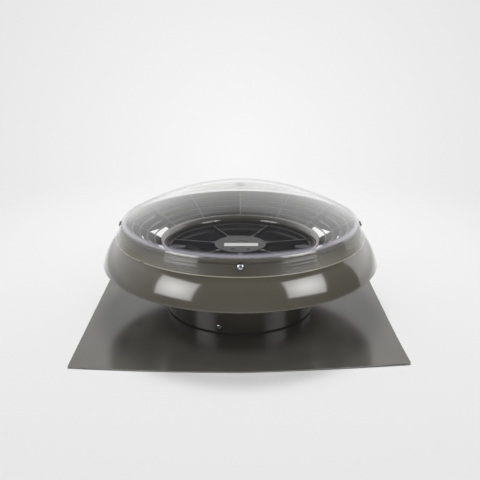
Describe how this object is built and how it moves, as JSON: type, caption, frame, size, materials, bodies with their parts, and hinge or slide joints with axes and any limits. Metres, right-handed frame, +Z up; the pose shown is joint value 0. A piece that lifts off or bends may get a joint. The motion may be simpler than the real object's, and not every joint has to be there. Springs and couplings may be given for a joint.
{
  "type": "powered roof ventilator",
  "caption": "Powered roof ventilator: axial fan in a round throat on a square flashing plate, under a ring grille, clear dome and outer cowl.",
  "frame": {"origin": "middle of the flashing plate's underside, on the fan's axis", "axes": "+Z up along the fan's axis, -Y towards the front, X and Y along the plate's edges"},
  "size_m": [0.5, 0.5, 0.2139],
  "materials": {
    "plate_paint": "satin powder paint on sheet steel",
    "throat_paint": "gloss paint on sheet steel",
    "cowl_plastic": "glossy moulded plastic",
    "duct_plastic": "glossy moulded plastic",
    "grille_plastic": "satin moulded plastic",
    "clear_plastic": "clear moulded plastic",
    "pale_seal": "translucent silicone",
    "fan_plastic": "satin glass-filled plastic",
    "impeller_plastic": "satin black plastic",
    "label_film": "white film",
    "zinc_screw": "bright zinc plate",
    "black_rubber": "matt",
    "cast_aluminium": "die cast",
    "circuit_laminate": "green laminate",
    "electrical_steel": "laminated",
    "copper_wire": "enamelled copper",
    "bearing_steel": "ground steel",
    "pressed_steel": "zinc plated pressing",
    "ferrite": "sintered, matt"
  },
  "bodies": {
    "root": {"flashing_plate": "plate_paint", "throat_tube": "throat_paint", "throat_screws": "zinc_screw", "bell_mouth": "duct_plastic", "fan_screws": "zinc_screw", "exhaust_grille": "grille_plastic", "grille_screws": "zinc_screw", "cowl_shell": "cowl_plastic", "clear_dome": "clear_plastic", "dome_seal": "pale_seal", "dome_screws": "zinc_screw", "dome_washers": "black_rubber", "fan_housing": "fan_plastic", "label_strip": "label_film", "hub_plug": "fan_plastic", "stator_base": "cast_aluminium", "motor_screws": "zinc_screw", "circuit_board": "circuit_laminate", "stator_core": "electrical_steel", "stator_windings": "copper_wire", "upper_bearing": "bearing_steel", "lower_bearing": "bearing_steel", "lead_grommet": "black_rubber"},
    "rotor": {"motor_shaft": "bearing_steel", "shaft_circlip": "bearing_steel", "preload_washer": "bearing_steel", "rotor_cup": "pressed_steel", "rotor_magnets": "ferrite", "impeller": "impeller_plastic", "impeller_screws": "zinc_screw"}
  },
  "joints": [
    {"name": "fan_spin", "type": "hinge", "parent": "root", "child": "rotor", "pos_m": [0, 0, 0.075], "axis": [0, 0, 1], "continuous": true}
  ]
}
